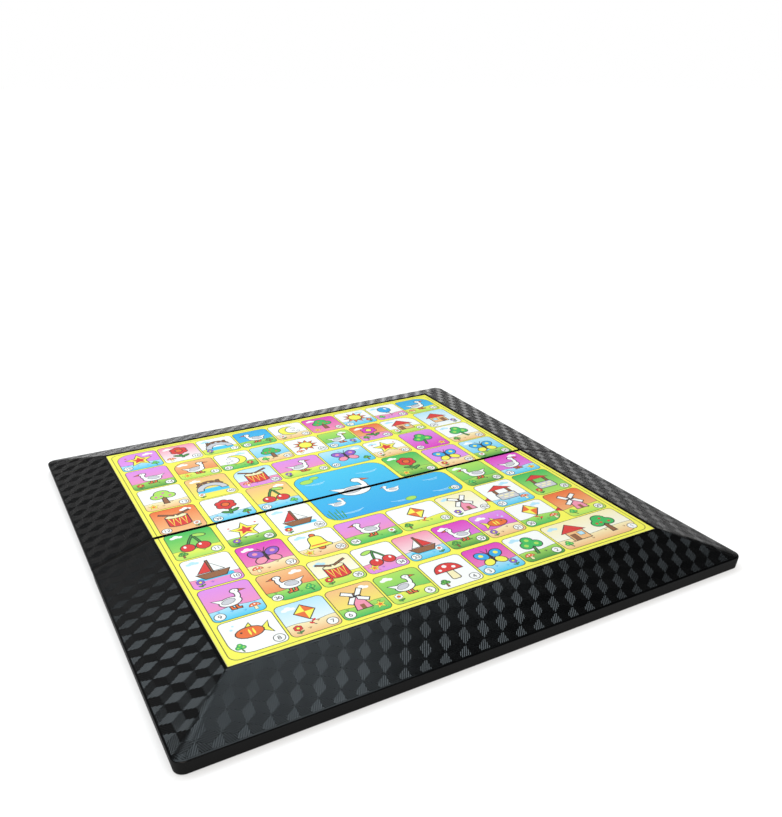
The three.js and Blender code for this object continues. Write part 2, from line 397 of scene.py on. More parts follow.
def side_normals(points, closed):
    """Mitred unit offsets, to the right of the way along the points."""
    count = len(points)
    offsets = []
    for i in range(count):
        here = Vector(points[i])
        ways = []
        if closed or i:
            ways.append((here - Vector(points[i - 1])).normalized())
        if closed or i + 1 < count:
            ways.append((Vector(points[(i + 1) % count]) - here).normalized())
        normals = [Vector((way.y, -way.x)) for way in ways]
        total = sum(normals, Vector((0, 0)))
        total = total.normalized() if total.length > TINY else normals[0]
        offsets.append(total / max(total.dot(normals[0]), MITRE_LIMIT))
    return offsets


def moved(points, normals, by):
    return [(x + n.x * by, y + n.y * by) for (x, y), n in zip(points, normals)]


def grown(points, by):
    """A closed outline, anticlockwise, moved outwards."""
    return moved(points, side_normals(points, True), by)


def stroke(points, width):
    """Outline of a line drawn with a pen of that width."""
    normals = side_normals(points, False)
    return moved(points, normals, width / 2) + moved(points, normals, -width / 2)[::-1]


def inked(*shapes, pen=0.055):
    """Shapes with one dark outline round them all."""
    return [(grown(points, pen), INK) for points, _ in shapes] + list(shapes)


def dots(spots, tone, steps=16):
    """Rounds in one tone, each given as an ellipse is."""
    return [(ellipse(*spot, steps=steps), tone) for spot in spots]


# Motifs, each in a square from -1 to 1


def goose(main, trim):
    neck = stroke(arc(0.05, 0.28, 0.36, 0.42, -60, 40, 6), 0.2)
    legs = [
        (stroke([(x, -0.45), (x + 0.04, -0.82), (x + 0.2, -0.84)], 0.09), ORANGE) for x in (-0.2, 0.06)
    ]
    body = [
        ([(-0.5, -0.24), (-0.42, 0.06), (-0.88, 0.16)], main),
        (neck, main),
        (ellipse(-0.08, -0.2, 0.54, 0.34, 6), main),
        (ellipse(0.36, 0.6, 0.19, 0.16), main),
    ]
    beak = [([(0.5, 0.52), (0.86, 0.56), (0.52, 0.7)], ORANGE)]
    wing = [(ellipse(-0.16, -0.14, 0.34, 0.19, 14), trim)]
    eye = dots(((0.4, 0.64, 0.035),), INK, 8)
    return inked(*legs) + inked(*beak) + inked(*body) + inked(*wing, pen=0.03) + eye


def swimmer(main, trim):
    """A goose on the water."""
    beak = [([(0.5, 0.5), (0.82, 0.5), (0.5, 0.68)], ORANGE)]
    body = [
        ([(-0.5, -0.2), (-0.4, 0.12), (-0.9, 0.24)], main),
        (stroke(arc(0.1, 0.2, 0.36, 0.46, -60, 60, 8), 0.2), main),
        (arc(-0.05, -0.1, 0.62, 0.44, 170, 370, 14), main),
        (ellipse(-0.05, -0.1, 0.6, 0.26), main),
        (ellipse(0.33, 0.58, 0.19, 0.16), main),
    ]
    wing = [(ellipse(-0.14, -0.12, 0.36, 0.2, 12), trim)]
    return inked(*beak, pen=0.03) + inked(*body, pen=0.03) + inked(*wing, pen=0.02)


def flower(main, trim):
    stem = [(stroke([(0, 0.1), (0.05, -0.4), (-0.02, -0.9)], 0.09), LEAF)]
    leaves = dots(((0.28, -0.55, 0.28, 0.1, 30), (-0.24, -0.66, 0.26, 0.1, 150)), LEAF)
    petals = [
        (ellipse(0.36 * math.cos(t), 0.3 + 0.36 * math.sin(t), 0.24, steps=12), main)
        for t in [math.radians(60 * i + 30) for i in range(6)]
    ]
    return inked(*stem, *leaves) + inked(*petals) + inked((ellipse(0, 0.3, 0.22), trim))


def star(main, trim):
    def points(reach):
        spans = [reach if i % 2 == 0 else reach * 0.45 for i in range(10)]
        turns = [math.radians(90 + 36 * i) for i in range(10)]
        return [(r * math.cos(t), r * math.sin(t)) for r, t in zip(spans, turns)]

    sparks = dots(((-0.75, 0.6, 0.07), (0.8, 0.5, 0.07), (0.6, -0.8, 0.07)), trim, 8)
    return inked((points(0.85), main)) + [(points(0.5), trim)] + sparks


def sun(main, trim):
    ray = [(0.52, -0.12), (0.88, 0), (0.52, 0.12)]
    rays = [(turned(ray, 36 * i), trim) for i in range(10)]
    return inked(*rays) + inked((ellipse(0, 0, 0.48), main))


def tree(main, trim):
    trunk = [([(-0.14, -0.9), (0.14, -0.9), (0.09, -0.1), (-0.09, -0.1)], BROWN)]
    crown = dots(((-0.34, 0.1, 0.36, 0.32), (0.36, 0.1, 0.36, 0.32), (0, 0.45, 0.44, 0.4)), main)
    fruit = dots(((-0.4, 0.1, 0.09), (0.1, 0.5, 0.09), (0.4, 0.05, 0.09), (-0.1, 0.12, 0.09)), trim, 8)
    return inked(*trunk) + inked(*crown) + fruit


def house(main, trim):
    walls = [(rectangle(-0.55, -0.8, 0.55, 0.1), main)]
    roof = [([(-0.78, 0.08), (0.78, 0.08), (0, 0.82)], trim)]
    door = [(rectangle(-0.42, -0.8, -0.12, -0.2), BROWN)]
    window = [(rectangle(0.1, -0.42, 0.42, -0.1), SKY)]
    return inked(*walls) + inked(*roof) + inked(*door, *window, pen=0.03)


def boat(main, trim):
    water = [(rectangle(-0.95, -0.92, 0.95, -0.62, 0.12, 3), CYAN)]
    hull = [([(-0.55, -0.78), (0.5, -0.78), (0.82, -0.3), (-0.85, -0.3)], trim)]
    mast = [(stroke([(0, -0.3), (0, 0.9)], 0.07), BROWN)]
    sails = [
        ([(0.08, -0.18), (0.7, -0.18), (0.08, 0.8)], main),
        ([(-0.08, -0.18), (-0.08, 0.6), (-0.6, -0.18)], WHITE),
    ]
    return water + inked(*mast) + inked(*sails) + inked(*hull)


def fish(main, trim):
    tail = [([(-0.4, 0.0), (-0.88, 0.42), (-0.76, 0.0), (-0.88, -0.42)], trim)]
    fin = [([(-0.1, 0.3), (0.25, 0.32), (-0.05, 0.66)], trim)]
    body = [(ellipse(0.1, 0, 0.64, 0.38), main)]
    bands = dots(((-0.1, 0, 0.05, 0.24), (0.1, 0, 0.05, 0.24)), trim, 10)
    eye = dots(((0.46, 0.1, 0.06),), INK, 8)
    bubbles = dots(((0.8, 0.5, 0.08), (0.65, 0.75, 0.06)), SKY, 8)
    return inked(*tail, *fin) + inked(*body) + bands + eye + bubbles


def mushroom(main, trim):
    stem = [(rounded([(-0.24, -0.8), (0.24, -0.8), (0.16, 0.1), (-0.16, 0.1)], [0.1] * 4, 3), CREAM)]
    cap = [(arc(0, 0.0, 0.78, 0.72, 0, 180, 14), main)]
    spots = dots(((-0.4, 0.24, 0.12), (0.05, 0.46, 0.14), (0.44, 0.2, 0.1)), trim, 10)
    return inked(*stem) + inked(*cap) + spots


def cherries(main, trim):
    stems = [(stroke([(x, -0.3), (x / 2 + 0.06, 0.3), (0.12, 0.75)], 0.07), LEAF) for x in (-0.4, 0.38)]
    leaf = [(ellipse(0.48, 0.68, 0.34, 0.15, -18), LIME)]
    fruit = dots(((-0.42, -0.45, 0.36), (0.4, -0.5, 0.36)), main)
    shine = dots(((-0.54, -0.32, 0.08, 0.12), (0.28, -0.32, 0.08, 0.12)), trim, 8)
    return inked(*stems) + inked(*leaf) + inked(*fruit) + shine


def butterfly(main, trim):
    wings = dots(((-0.44, 0.32, 0.42, 0.32, 140), (0.44, 0.32, 0.42, 0.32, 40)), main)
    wings += dots(((-0.36, -0.36, 0.34, 0.26, 40), (0.36, -0.36, 0.34, 0.26, 140)), trim)
    spots = dots(((-0.48, 0.36, 0.14), (0.48, 0.36, 0.14)), trim, 10)
    feelers = [(stroke([(0, 0.4), (x * 0.6, 0.7), (x, 0.86)], 0.05), INK) for x in (-0.22, 0.22)]
    body = [(ellipse(0, 0, 0.09, 0.5), INK)]
    return inked(*wings) + spots + feelers + body


def balloon(main, trim):
    string = [(stroke(arc(0.0, -0.6, 0.12, 0.36, 90, 270, 6), 0.05), INK)]
    knot = [([(-0.1, -0.3), (0.1, -0.3), (0, -0.14)], main)]
    bag = [(ellipse(0, 0.34, 0.48, 0.54), main)]
    shine = [(ellipse(-0.18, 0.52, 0.1, 0.18, -20, 10), trim)]
    return string + inked(*knot) + inked(*bag) + shine


def kite(main, trim):
    sail = [([(0, -0.35), (0.52, 0.3), (0, 0.88), (-0.52, 0.3)], main)]
    half = [([(0, -0.35), (0.52, 0.3), (0, 0.3)], trim), ([(0, 0.3), (0, 0.88), (-0.52, 0.3)], trim)]
    tail = [(stroke([(0, -0.35), (0.16, -0.52), (-0.06, -0.7), (0.14, -0.92)], 0.05), INK)]
    bows = dots(((0.14, -0.52, 0.13, 0.07, 30), (-0.04, -0.72, 0.13, 0.07, -30)), RED, 8)
    return tail + inked(*sail) + half + bows


def umbrella(main, trim):
    stick = [(stroke([(0, 0.2), (0, -0.62)] + arc(0.14, -0.66, 0.14, 0.16, 180, 340, 5), 0.08), BROWN)]
    shade = [(arc(0, 0.02, 0.82, 0.74, 0, 180, 14), main)]
    panel = [(arc(0, 0.02, 0.3, 0.74, 0, 180, 10), trim)]
    return inked(*stick) + inked(*shade) + inked(*panel, pen=0.02)


def moon(main, trim):
    sickle = arc(0, 0, 0.74, 0.74, 60, 300, 16) + arc(0.34, 0, 0.62, 0.64, 268, 92, 12)
    stars = dots(((0.42, 0.3, 0.13), (0.62, -0.28, 0.1), (0.3, -0.12, 0.07)), trim, 8)
    return inked((sickle, main)) + inked(*stars, pen=0.03)


def bridge(main, trim):
    water = [(rectangle(-0.95, -0.85, 0.95, -0.3, 0.1, 3), CYAN)]
    span = arc(0, -0.5, 0.92, 0.86, 0, 180, 14) + arc(0, -0.5, 0.56, 0.52, 180, 0, 12)
    posts = [(rectangle(x - 0.06, 0.0, x + 0.06, 0.62), trim) for x in (-0.6, -0.2, 0.2, 0.6)]
    rail = [(stroke(arc(0, -0.42, 0.86, 1.04, 30, 150, 8), 0.1), trim)]
    return water + inked(*posts) + inked(*rail) + inked((span, main))


def well(main, trim):
    posts = [(rectangle(x - 0.07, -0.2, x + 0.07, 0.5), BROWN) for x in (-0.46, 0.46)]
    roof = [([(-0.8, 0.4), (0.8, 0.4), (0, 0.9)], trim)]
    wall = [(rectangle(-0.62, -0.85, 0.62, -0.15, 0.08, 3), main)]
    bricks = [
        (rectangle(x - 0.15, y - 0.07, x + 0.15, y + 0.07), CREAM)
        for x, y in ((-0.38, -0.35), (0.02, -0.35), (0.42, -0.35), (-0.18, -0.6), (0.22, -0.6))
    ]
    return inked(*posts) + inked(*roof) + inked(*wall) + bricks


def clover(main, trim):
    stem = [(stroke([(0, 0.1), (0.06, -0.4), (0.2, -0.86)], 0.1), LEAF)]
    leaves = dots(((-0.32, 0.05, 0.34), (0.32, 0.05, 0.34), (0, 0.5, 0.34)), main)
    veins = dots(((-0.34, 0.05, 0.14), (0.34, 0.05, 0.14), (0, 0.52, 0.14)), trim, 10)
    return inked(*stem) + inked(*leaves) + veins


def drum(main, trim):
    sticks = [
        (stroke([(-0.85, 0.8), (-0.1, 0.42)], 0.09), BROWN),
        (stroke([(0.85, 0.8), (0.1, 0.42)], 0.09), BROWN),
    ]
    side = [(rectangle(-0.6, -0.72, 0.6, 0.3), main), (ellipse(0, -0.7, 0.6, 0.18), main)]
    laces = [
        (stroke([(x, 0.24), (x + 0.15, -0.78), (x + 0.3, 0.24)], 0.06), trim) for x in (-0.5, -0.15, 0.2)
    ]
    return inked(*side) + laces + inked((ellipse(0, 0.3, 0.6, 0.2), CREAM)) + inked(*sticks)


def bell(main, trim):
    body = rounded(
        [(-0.72, -0.56), (0.72, -0.56), (0.44, -0.2), (0.34, 0.6), (-0.34, 0.6), (-0.44, -0.2)],
        [0.08, 0.08, 0.3, 0.3, 0.3, 0.3],
        4,
    )
    ring = [(ellipse(0, 0.74, 0.14, steps=10), trim)]
    clapper = [(ellipse(0, -0.64, 0.17), trim)]
    band = [(rectangle(-0.46, -0.36, 0.46, -0.24), trim)]
    return inked(*ring) + inked(*clapper) + inked((body, main)) + band


def windmill(main, trim):
    tower = [([(-0.4, -0.88), (0.4, -0.88), (0.2, 0.24), (-0.2, 0.24)], main)]
    cap = [(arc(0, 0.22, 0.26, 0.3, 0, 180, 8), trim)]
    blade = [(0.08, -0.03), (0.72, -0.03), (0.72, 0.2), (0.2, 0.2)]
    blades = [(turned(blade, 90 * i + 35, cy=0.26), WHITE) for i in range(4)]
    hub = dots(((0, 0.26, 0.07),), INK, 8)
    door = [(rectangle(-0.12, -0.88, 0.12, -0.5), BROWN)]
    return inked(*tower) + inked(*cap) + inked(*blades) + hub + door


def cloud(tone):
    puffs = ((-0.55, -0.05, 0.45, 0.34), (0.0, 0.18, 0.5, 0.46), (0.58, -0.04, 0.42, 0.32))
    return dots(puffs, tone, 12)


MOTIFS = [
    (flower, MAGENTA, YELLOW),
    (boat, RED, BROWN),
    (tree, GREEN, RED),
    (kite, ORANGE, YELLOW),
    (bridge, GREY, BROWN),
    (mushroom, RED, WHITE),
    (butterfly, PURPLE, PINK),
    (house, PEACH, RED),
    (cherries, RED, WHITE),
    (sun, YELLOW, ORANGE),
    (fish, ORANGE, YELLOW),
    (umbrella, BLUE, YELLOW),
    (well, GREY, RED),
    (star, YELLOW, RED),
    (clover, GREEN, LIME),
    (drum, RED, YELLOW),
    (balloon, BLUE, WHITE),
    (bell, YELLOW, ORANGE),
    (moon, YELLOW, WHITE),
    (windmill, PINK, BROWN),
    (flower, RED, ORANGE),
    (butterfly, BLUE, YELLOW),
    (tree, LIME, MAGENTA),
]
SMALL_MOTIFS = [
    (flower, RED, YELLOW),
    (clover, GREEN, LIME),
    (mushroom, ORANGE, WHITE),
    (flower, PURPLE, YELLOW),
    (tree, LEAF, LIME),
    (flower, WHITE, ORANGE),
    (star, YELLOW, ORANGE),
]
SOILS = [  # top, foot and tufts
    (LIME, GREEN, LEAF),
    (CREAM, PEACH, BROWN),
    (LIME, LEAF, INK),
    (SKY, CYAN, BLUE),
    (PINK, LILAC, PURPLE),
    (YELLOW, LIME, LEAF),
]
GOOSE_SQUARES = {5, 9, 14, 18, 23, 27, 32, 36, 41, 45, 50, 54, 59}
GROUNDS = [
    (WHITE, WHITE),
    (WHITE, SKY),
    (MAGENTA, LILAC),
    (WHITE, WHITE),
    (LIME, GREEN),
    (WHITE, CREAM),
    (WHITE, WHITE),
    (LILAC, LILAC),
    (WHITE, WHITE),
    (PEACH, ORANGE),
    (WHITE, WHITE),
    (CYAN, SKY),
    (WHITE, PINK),
    (YELLOW, PEACH),
    (WHITE, WHITE),
    (PINK, MAGENTA),
    (WHITE, WHITE),
]
GOOSE_GROUNDS = [(GREEN, LIME), (ORANGE, PEACH), (LILAC, MAGENTA), (CYAN, BLUE), (PINK, LILAC)]


def bowl(cx, cy, rx, ry):
    """A closed pen line, as two arcs that overlap."""
    return [arc(cx, cy, rx, ry, 0, 185), arc(cx, cy, rx, ry, 180, 365)]


# Digits as pen lines in a box from -0.3 to 0.3 across and -0.5 to 0.5 up
SIX = bowl(0, -0.18, 0.25, 0.26) + [arc(0.25, -0.18, 0.5, 0.62, 110, 178, 5)]
DIGITS = [
    bowl(0, 0, 0.26, 0.44),
    [[(-0.16, 0.26), (0.04, 0.44), (0.04, -0.44)]],
    [arc(0, 0.19, 0.25, 0.25, 165, -30, 7) + [(-0.25, -0.42)], [(-0.27, -0.42), (0.28, -0.42)]],
    [arc(0, 0.22, 0.23, 0.22, 155, -85, 7), arc(0, -0.2, 0.26, 0.24, 85, -155, 7)],
    [[(0.1, -0.44), (0.1, 0.44)], [(0.1, 0.44), (-0.28, -0.16), (0.3, -0.16)]],
    [[(0.24, 0.42), (-0.2, 0.42), (-0.22, 0.05)], arc(0, -0.17, 0.26, 0.27, 140, -150, 8)],
    SIX,
    [[(-0.26, 0.42), (0.26, 0.42), (-0.08, -0.44)]],
    bowl(0, 0.23, 0.2, 0.21) + bowl(0, -0.21, 0.25, 0.23),
    [[(-x, -y) for x, y in line] for line in SIX],
]
DIGIT_HEIGHT = 3.5
DIGIT_STEP = 0.68  # of the height
DIGIT_PEN = 0.15


Shape = namedtuple("Shape", "points foot_tone top_tone foot top")


class Print:
    """The drawing on the sheets: closed outlines in millimetres, each over the ones before it."""

    def __init__(self):
        self.shapes = []

    def add(self, points, first, second=None):
        """A shape in one tone, or in a blend from its foot to its top."""
        heights = [y for _, y in points]
        self.shapes.append(Shape(points, first, second or first, min(heights), max(heights)))

    def place(self, shapes, cx, cy, size, flip=1):
        """A motif, or its mirror image where flip is -1."""
        for points, tone in shapes:
            laid = [(cx + flip * size * x, cy + size * y) for x, y in points]
            self.add(laid if flip > 0 else laid[::-1], tone)

    def number(self, value, cx, cy):
        """Plain digits in a ring."""
        self.add(ellipse(cx, cy, NUMBER_RADIUS + LINE, steps=20), INK)
        self.add(ellipse(cx, cy, NUMBER_RADIUS, steps=20), WHITE)
        text = str(value)
        for i, letter in enumerate(text):
            across = (i - (len(text) - 1) / 2) * DIGIT_STEP
            for line in DIGITS[int(letter)]:
                outline = stroke([(x + across, y) for x, y in line], DIGIT_PEN)
                self.add([(cx + DIGIT_HEIGHT * x, cy + DIGIT_HEIGHT * y) for x, y in outline], INK)

    def soil(self, inner, value):
        """Ground along the foot of a square, with a wavy top, and tufts on it."""
        left, right = min(x for x, _ in inner), max(x for x, _ in inner)
        level = min(y for _, y in inner) + SOIL_HEIGHT
        foot = [p for p in inner if p[1] < level]
        top = []
        for i in range(SOIL_STEPS + 1):
            share = i / SOIL_STEPS
            wave = math.sin(math.radians(SOIL_SWEEP * share + SOIL_PHASE * value))
            rise = SOIL_RISE * wave * math.sin(math.pi * share)
            top.append((right + (left - right) * share, level + rise))
        main, deep, tuft = SOILS[value % len(SOILS)]
        self.add(foot + top, deep, main)
        self.add(stroke(top, SOIL_LINE), INK)
        for i in range(TUFTS):
            x = left + (right - left) * (TUFT_FIRST + TUFT_STEP * i)
            y = level - TUFT_DEPTH - TUFT_ROW * ((i + value) % TUFT_ROWS)
            self.add(stroke([(x - 0.9, y + 1.5), (x, y), (x + 0.3, y + 1.9)], TUFT_PEN), tuft)
            self.add(stroke([(x, y), (x + 1.3, y + 1.3)], TUFT_PEN), tuft)

    def cell(self, value, x0, y0, x1, y1, corner):
        """One square of the track, with a wide round at the corner where the track turns, if any."""
        edge = CELL_GAP / 2
        left, right, low, high = x0 + edge, x1 - edge, y0 + edge, y1 - edge
        corners = [(left, low), (right, low), (right, high), (left, high)]
        radii = [TURN_RADIUS if corner == i else CELL_RADIUS for i in range(4)]
        outline = rounded(corners, radii)
        inner = grown(outline, -LINE)
        is_goose = value in GOOSE_SQUARES
        if is_goose:
            ground = GOOSE_GROUNDS[value % len(GOOSE_GROUNDS)]
            motif = goose(WHITE, GREY)
        else:
            ground = GROUNDS[value * GROUND_STEP % len(GROUNDS)]
            drawn, main, trim = MOTIFS[value * MOTIF_STEP % len(MOTIFS)]
            motif = drawn(main, trim)
        self.add(outline, INK)
        self.add(inner, *ground)
        if is_goose or value % BARE_CYCLE:
            self.soil(inner, value)

        # the number goes on one side, the cloud and the small motif on the other
        inset = edge + NUMBER_RADIUS + 2 * LINE + NUMBER_GAP
        if value % SIDE_CYCLE:
            number_x, cloud_x, small_x = x1 - inset, left + CLOUD_IN, left + SMALL_IN
        else:
            number_x, cloud_x, small_x = x0 + inset, right - CLOUD_IN, right - SMALL_IN
        if value % CLOUD_CYCLE < CLOUDY:
            tone = SKY if ground[1] in (WHITE, CREAM) else WHITE
            self.place(cloud(tone), cloud_x, high - CLOUD_DOWN, CLOUD_SIZE)
        cx, cy = (x0 + x1) / 2, (y0 + y1) / 2
        size = min(x1 - x0, y1 - y0) * MOTIF_SIZE
        motif_y = cy + MOTIF_LIFT * size
        shift = WIDE_SHIFT * (x1 - x0) if x1 - x0 > WIDE_RATIO * (y1 - y0) else 0
        self.place(motif, cx - shift, motif_y, size, 1 if value % 2 else -1)
        if shift:
            self.place(tree(GREEN, RED), cx + shift, motif_y, size)
        small, main, trim = SMALL_MOTIFS[value % len(SMALL_MOTIFS)]
        self.place(small(main, trim), small_x, low + SMALL_UP, SMALL_SIZE)
        self.number(value, number_x, y0 + inset)


def ring_cells(outer, across, along):
    """Squares of one turn of the track, clockwise from the near right corner.

    Each comes as its box and the number of its corner where the track turns, or None.
    """
    inner = outer - RING_DEPTH
    cells = []
    for quarter, count in enumerate((across, along, across, along)):
        step = 2 * inner / count
        boxes = [(inner, -outer, outer, -inner)]
        boxes += [(inner - step * (i + 1), -outer, inner - step * i, -inner) for i in range(count)]
        for _ in range(quarter):
            boxes = [(y0, -x1, y1, -x0) for x0, y0, x1, y1 in boxes]
        corners = [(1 - quarter) % 4] + [None] * count
        cells += zip(boxes, corners)
    return cells


def draw_pond(sheet, half, reach, value):
    """The goal: water with an inlet from the last square, leaves, reeds and swimming geese."""
    inlet_y = -2.0
    bank = [(-half, -half), (reach, -half), (reach, inlet_y), (half, inlet_y), (half, half), (-half, half)]
    outline = rounded(bank, [12, 8, 8, 6, 12, 12])
    sheet.add(outline, INK)
    sheet.add(grown(outline, -LINE), BLUE, CYAN)
    ripples = ((-20, -28, 12), (22, -30, 9), (58, -30, 8), (-24, 26, 9), (22, 27, 10), (60, -10, 7))
    for cx, cy, rx in ripples:
        sheet.add(stroke(arc(cx, cy, rx, 0.28 * rx, 200, 340, 8), 0.6), SKY)
        sheet.add(stroke(arc(cx + 1.5, cy - 2.2, 0.6 * rx, 0.2 * rx, 200, 340, 6), 0.5), SKY)
    leaves = ((-29, 30, 5.5), (-21, 34, 3.8), (30, -33, 4.5), (68, -33, 4.0))
    for cx, cy, r in leaves:
        sheet.add(ellipse(cx, cy, r + LINE, 0.6 * r + LINE, 8), LEAF)
        sheet.add(ellipse(cx, cy, r, 0.6 * r, 8), LIME)
    reeds = 5
    for i in range(reeds):
        foot = -36 + 2.4 * i
        sheet.add(stroke([(foot, -37), (foot - 1 + 0.5 * i, -26 + 4 * (i % 2))], 0.9), LEAF)
    swimmers = ((0, 3, 21, 1), (-22, -14, 9, 1), (24, -12, 9, -1))
    for cx, cy, size, flip in swimmers:
        sheet.place(swimmer(WHITE, GREY), cx, cy, size, flip)
    sheet.number(value, reach - 6.5, -33.5)


def draw_arrow(sheet, gap):
    """An arrow across the gap between two turns of the track, on the right, close to its near end."""
    back = gap + ARROW_BACK
    y = ARROW_UP - gap
    arrow = [(gap - ARROW_AHEAD, y), (back, y - ARROW_HALF), (back, y + ARROW_HALF)]
    sheet.add(grown(arrow, LINE), INK)
    sheet.add(arrow, RED)


def draw_track():
    """The whole drawing: ground, the turns of squares, arrows between them and the pond."""
    sheet = Print()
    over = SHEET_HALF + BLEED
    sheet.add(rectangle(-over, -over, over, over), YELLOW)
    line = SHEET_HALF - BORDER / 2
    border = rectangle(-line, -line, line, line, BORDER_RADIUS)
    sheet.add(border, INK)
    sheet.add(grown(border, -LINE), YELLOW)
    value = 1
    outer = SHEET_HALF - BORDER
    for turn, (across, along) in enumerate(TURNS):
        is_last = turn == len(TURNS) - 1
        cells = ring_cells(outer, across, along)
        if turn == 0:  # the first square is as long as two
            start, second = cells[0][0], cells[1][0]
            cells[:2] = [((second[0], *start[1:]), 1)]
        if is_last:  # the pond's inlet takes the place of the last square
            cells.pop()
        for box, corner in cells:
            sheet.cell(value, *box, corner)
            value += 1
        if not is_last:
            draw_arrow(sheet, outer - RING_DEPTH - RING_GAP / 2)
        outer -= RING_DEPTH + RING_GAP
    draw_pond(sheet, outer, outer + RING_GAP + RING_DEPTH - CELL_GAP, value)
    return sheet.shapes


# Meshes of the printed sheets


def cut_drawing(shapes, face, y0, y1):
    """The drawing cut to the face of a sheet that lies between two ends in Y.

    It comes as corners, triangles and a tone for each corner of each triangle, from the last shape
    that covers the triangle.
    """
    drawn = [shape for shape in shapes if shape.top >= y0 and shape.foot <= y1]
    spots, outlines = [], []
    for points in [face] + [shape.points for shape in drawn]:
        outlines.append(list(range(len(spots), len(spots) + len(points))))
        spots.extend(Vector(p) for p in points)
    corners, _, triangles, _, _, sources = delaunay_2d_cdt(spots, [], outlines, 1, CUT_GRAIN)
    faces, tones = [], []
    for triangle, source in zip(triangles, sources):
        if 0 in source:
            shape = drawn[max(source) - 1]
            blend = []
            for corner in triangle:
                share = (corners[corner].y - shape.foot) / max(shape.top - shape.foot, TINY)
                share = min(max(share, 0.0), 1.0)
                blend.append([a + (b - a) * share for a, b in zip(shape.foot_tone, shape.top_tone)])
            faces.append(triangle)
            tones.append(blend)
    return corners, faces, tones


def outer_loop(triangles):
    """Corners round the outside of a patch of triangles, in order."""
    edges = {(triangle[i - 1], triangle[i]) for triangle in triangles for i in range(3)}
    following = {a: b for a, b in edges if (b, a) not in edges}
    first = min(following)
    loop = [first]
    while following[loop[-1]] != first:
        loop.append(following[loop[-1]])
    return loop


def pushed(spot, low, high, out):
    """X and Y of a spot on the edge of a sheet's face, moved out over that edge."""
    near = 2 * EDGE_ROUND
    return [c + out * ((c > end - near) - (c < start + near)) for c, start, end in zip(spot, low, high)]


def side_faces(rims):
    """Walls between loops of corners that lie one below the other, and the bottom."""
    faces = []
    count = len(rims[0])
    for upper, lower in zip(rims, rims[1:]):
        for i in range(count):
            k = (i + 1) % count
            faces.append([upper[i], lower[i], lower[k], upper[k]])
    return faces + [list(reversed(rims[-1]))]


def colour_corners(mesh, tones):
    """Inks of a sheet, held by the corners of its faces."""
    inks = mesh.color_attributes.new("inks", "FLOAT_COLOR", "CORNER")
    flat = []
    for tone in (tone for face in tones for tone in face):
        flat.extend([PAPER * channel for channel in tone] + [1.0])
    inks.data.foreach_set("color", flat)


def plan_share(spot, box):
    """Place of a spot in the plan of a box, from 0 to 1 each way."""
    return [(spot[i] - box[0][i]) / (box[1][i] - box[0][i]) for i in (0, 1)]


def unfold_sheet(mesh, box):
    """Flat map of a sheet: its printed face large, and all other faces in a strip below it."""
    layer = mesh.uv_layers.new(name="OFBake")
    for polygon in mesh.polygons:
        start, length = MAP_FACE if polygon.normal.z > FACE_UPWARD else MAP_REST
        for i in polygon.loop_indices:
            u, v = plan_share(mesh.vertices[mesh.loops[i].vertex_index].co, box)
            layer.data[i].uv = (MAP_ACROSS[0] + MAP_ACROSS[1] * u, start + length * v)


def print_mesh(name, node, shapes):
    """Closed sheet over the CAD sheet's own box, with the drawing cut into its top face."""
    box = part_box(node)
    (x0, y0, bottom), (x1, y1, top) = ([value / MM for value in corner] for corner in box)
    face = rectangle(x0 + EDGE_ROUND, y0 + EDGE_ROUND, x1 - EDGE_ROUND, y1 - EDGE_ROUND)
    corners, faces, tones = cut_drawing(shapes, face, y0, y1)
    verts = [(p.x, p.y, top) for p in corners]
    loop = outer_loop(faces)
    rims = [loop]
    bend_out, bend_down = (share * EDGE_ROUND for share in EDGE_BEND)
    for out, z in ((bend_out, top - bend_down), (EDGE_ROUND, top - EDGE_ROUND), (EDGE_ROUND, bottom)):
        rims.append(range(len(verts), len(verts) + len(loop)))
        verts += [(*pushed(verts[corner], (x0, y0), (x1, y1), out), z) for corner in loop]
    sides = side_faces(rims)
    mesh = bpy.data.meshes.new(name)
    mesh.from_pydata([Vector(v) * MM for v in verts], [], faces + sides)
    colour_corners(mesh, tones + [[CREAM] * len(side) for side in sides])
    unfold_sheet(mesh, box)
    return added(name, mesh)


# Pattern of the rim


def kept_above(points, way, limit):
    """The part of a convex outline past a distance along a way."""
    kept = []
    for i, here in enumerate(points):
        last = points[i - 1]
        before = last.dot(way) - limit
        after = here.dot(way) - limit
        if (before < 0) != (after < 0):
            kept.append(last.lerp(here, before / (before - after)))
        if after >= 0:
            kept.append(here)
    return [p for i, p in enumerate(kept) if (p - kept[i - 1]).length > SPOT_SIZE]


def rim_slopes(node):
    """The flat faces of a CAD shell's rim, with those round its corners.

    Each comes as its corners in millimetres, anticlockwise, its normal and, for the side before
    each corner, how far the pattern stays from it: a hair where another face goes on.
    """
    mesh = nodes[node].data
    found = {}
    for polygon in mesh.polygons:
        tilt = polygon.normal
        if RIM_TILT[0] < tilt.z < RIM_TILT[1]:
            way = (round(tilt.x, KEY_DIGITS), round(tilt.y, KEY_DIGITS))
            corners, _ = found.setdefault(way, ({}, tilt.copy()))
            for i in polygon.vertices:
                spot = nodes[node].matrix_world @ mesh.vertices[i].co / MM
                corners[tuple(round(c, KEY_DIGITS) for c in spot)] = spot
    faces = []
    for corners, tilt in found.values():
        middle = sum(corners.values(), Vector()) / len(corners)
        turn = {key: math.atan2(p.y - middle.y, p.x - middle.x) for key, p in corners.items()}
        keys = sorted(corners, key=turn.get)
        sides = [frozenset((keys[i - 1], key)) for i, key in enumerate(keys)]
        faces.append(([corners[key] for key in keys], tilt, sides))
    shared = [side for _, _, sides in faces for side in sides]
    for corners, tilt, sides in faces:
        yield corners, tilt, [TILE_INSET if shared.count(side) == 1 else TILE_PART for side in sides]


